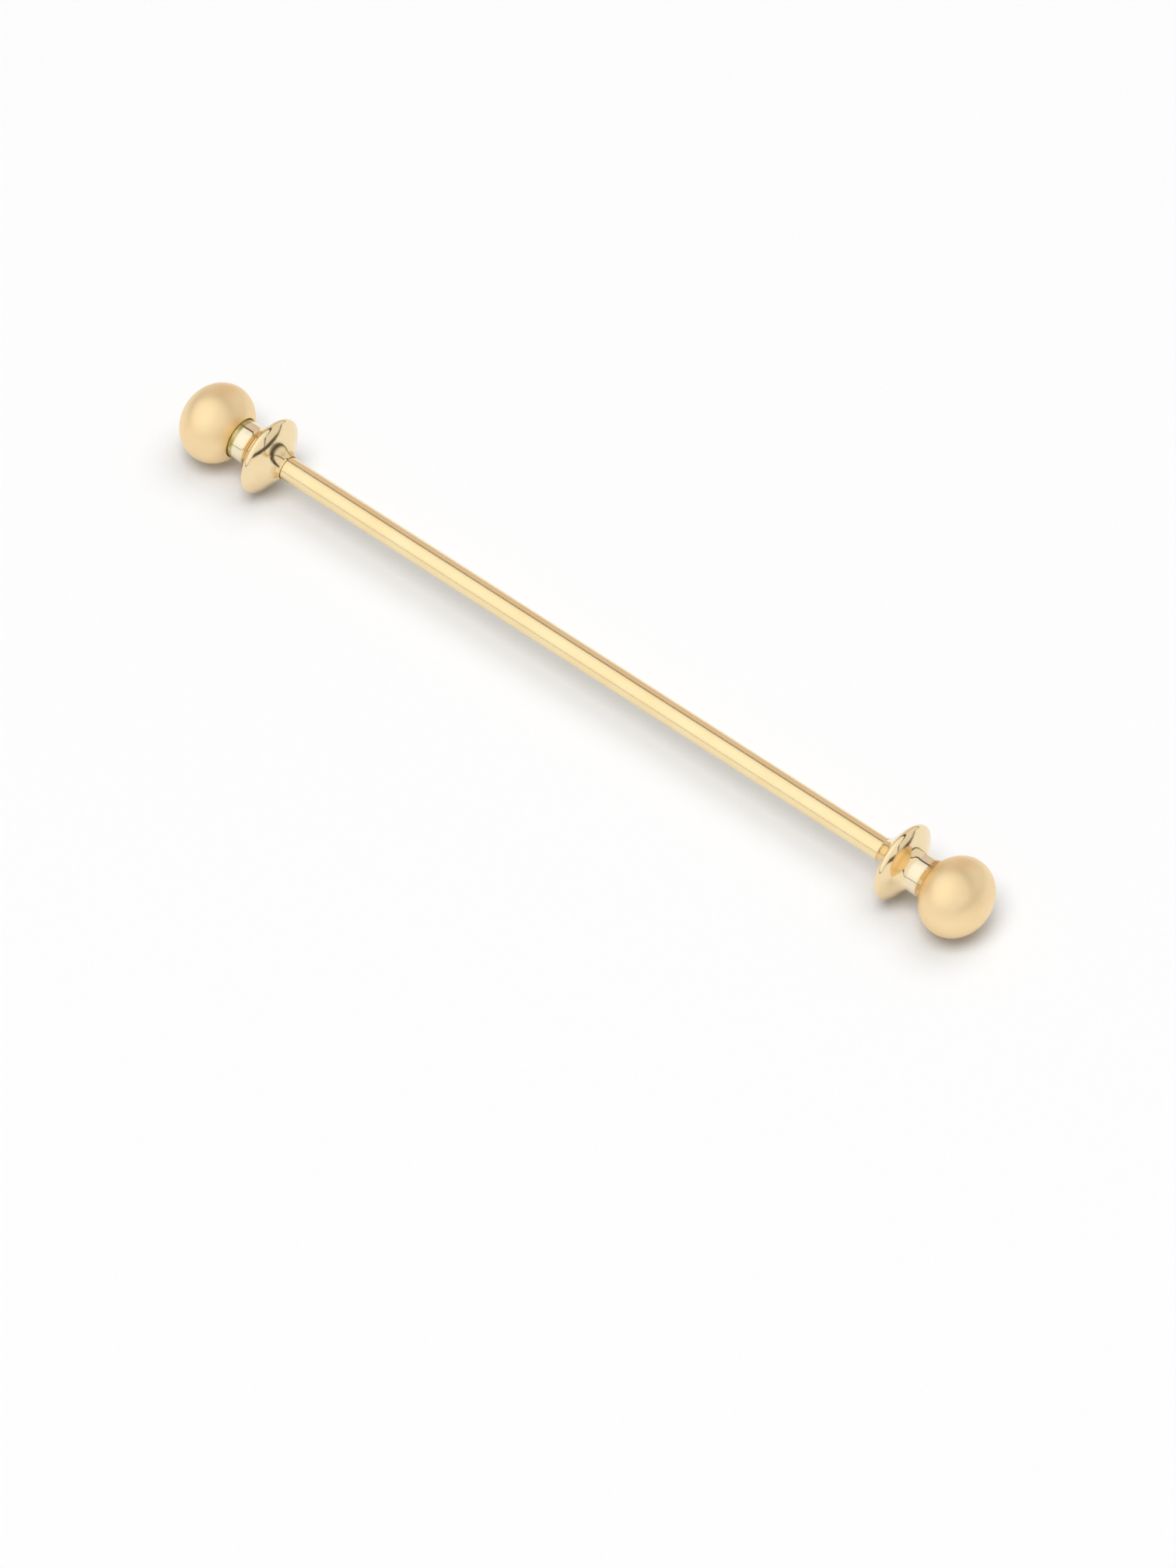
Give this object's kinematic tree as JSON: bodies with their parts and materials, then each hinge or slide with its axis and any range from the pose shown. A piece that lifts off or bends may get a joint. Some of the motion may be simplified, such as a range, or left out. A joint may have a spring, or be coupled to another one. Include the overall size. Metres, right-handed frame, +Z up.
{
  "type": "collar bar",
  "caption": "Straight polished bar with a flange, neck and satin ball at each end, worn through shirt collar eyelets under the tie knot. The finial at -X screws off.",
  "frame": {"origin": "on the surface that the bar lies on, below the middle of the bar", "axes": "+X along the bar towards the fixed finial, +Z up"},
  "size_m": [0.06, 0.005, 0.005],
  "materials": {
    "polished_gold": "mirror polished gold plating on brass",
    "satin_gold": "satin champagne gold plating on brass"
  },
  "bodies": {
    "bar": {"rod": "polished_gold", "fixed_collar": "polished_gold", "fixed_ball": "satin_gold"},
    "finial_ball": {"screw_ball": "satin_gold"},
    "finial_collar": {"screw_collar": "polished_gold"}
  },
  "joints": [
    {"name": "finial_travel", "type": "slide", "parent": "bar", "child": "finial_ball", "axis": [-1, 0, 0], "range_m": [0, 0.004]},
    {"name": "finial_turn", "type": "hinge", "parent": "finial_ball", "child": "finial_collar", "pos_m": [-0.0239, 0, 0.00249], "axis": [-1, 0, 0], "range_deg": [0, 5760]}
  ],
  "couplings": [
    {"joint": "finial_turn", "follows": "finial_travel", "rad_per_m": 25133}
  ]
}
